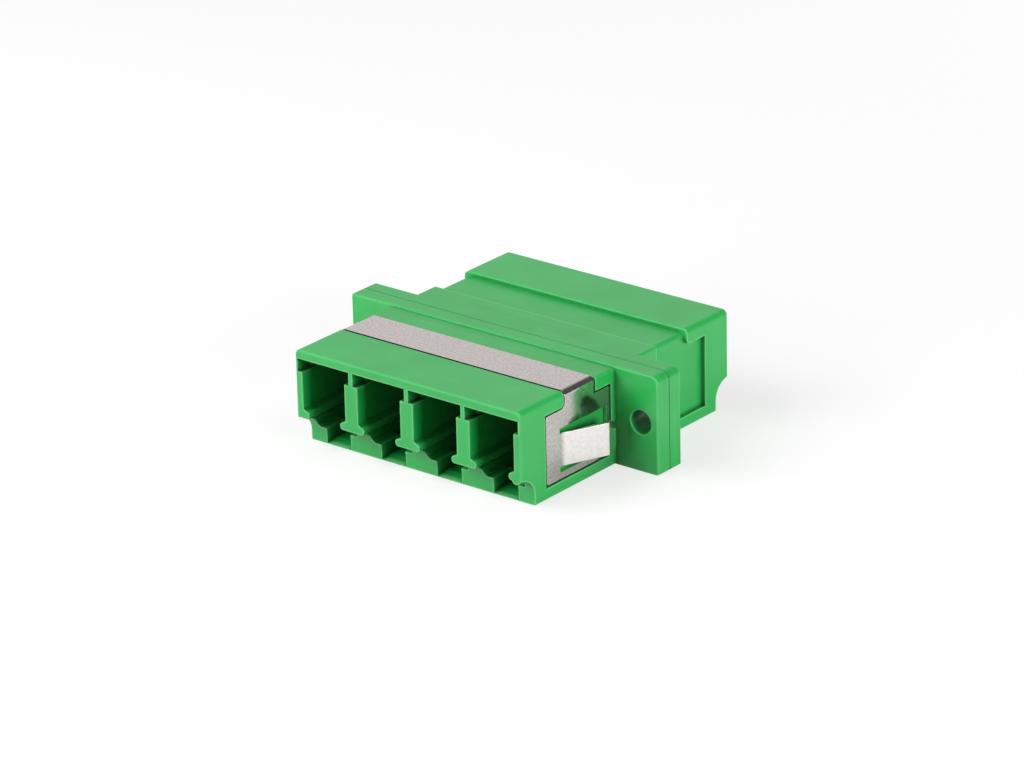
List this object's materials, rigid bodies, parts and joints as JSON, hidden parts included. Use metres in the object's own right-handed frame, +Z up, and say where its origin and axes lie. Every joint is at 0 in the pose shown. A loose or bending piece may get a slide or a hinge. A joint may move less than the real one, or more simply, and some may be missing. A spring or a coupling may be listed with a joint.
{
  "type": "lc fibre adapter",
  "caption": "Flanged LC fibre-optic adapter: green moulded body in two halves, a row of plug ports on each face, folded spring clip for a panel cut-out.",
  "frame": {"origin": "middle of the underside, on the seam between the two moulded halves", "axes": "+X across the row of ports, +Y from the clip's side to the rear ports, +Z up, away from the latch channels"},
  "size_m": [0.0344, 0.0294, 0.0091],
  "materials": {
    "green_plastic": "fine satin moulded plastic, mid green",
    "spring_steel": "bright rolled stainless spring steel",
    "zirconia": "polished white zirconia"
  },
  "bodies": {
    "root": {"front_housing": "green_plastic", "rear_housing": "green_plastic", "panel_clip": "spring_steel", "alignment_sleeve_1": "zirconia", "alignment_sleeve_2": "zirconia", "alignment_sleeve_3": "zirconia", "alignment_sleeve_4": "zirconia"}
  },
  "joints": []
}
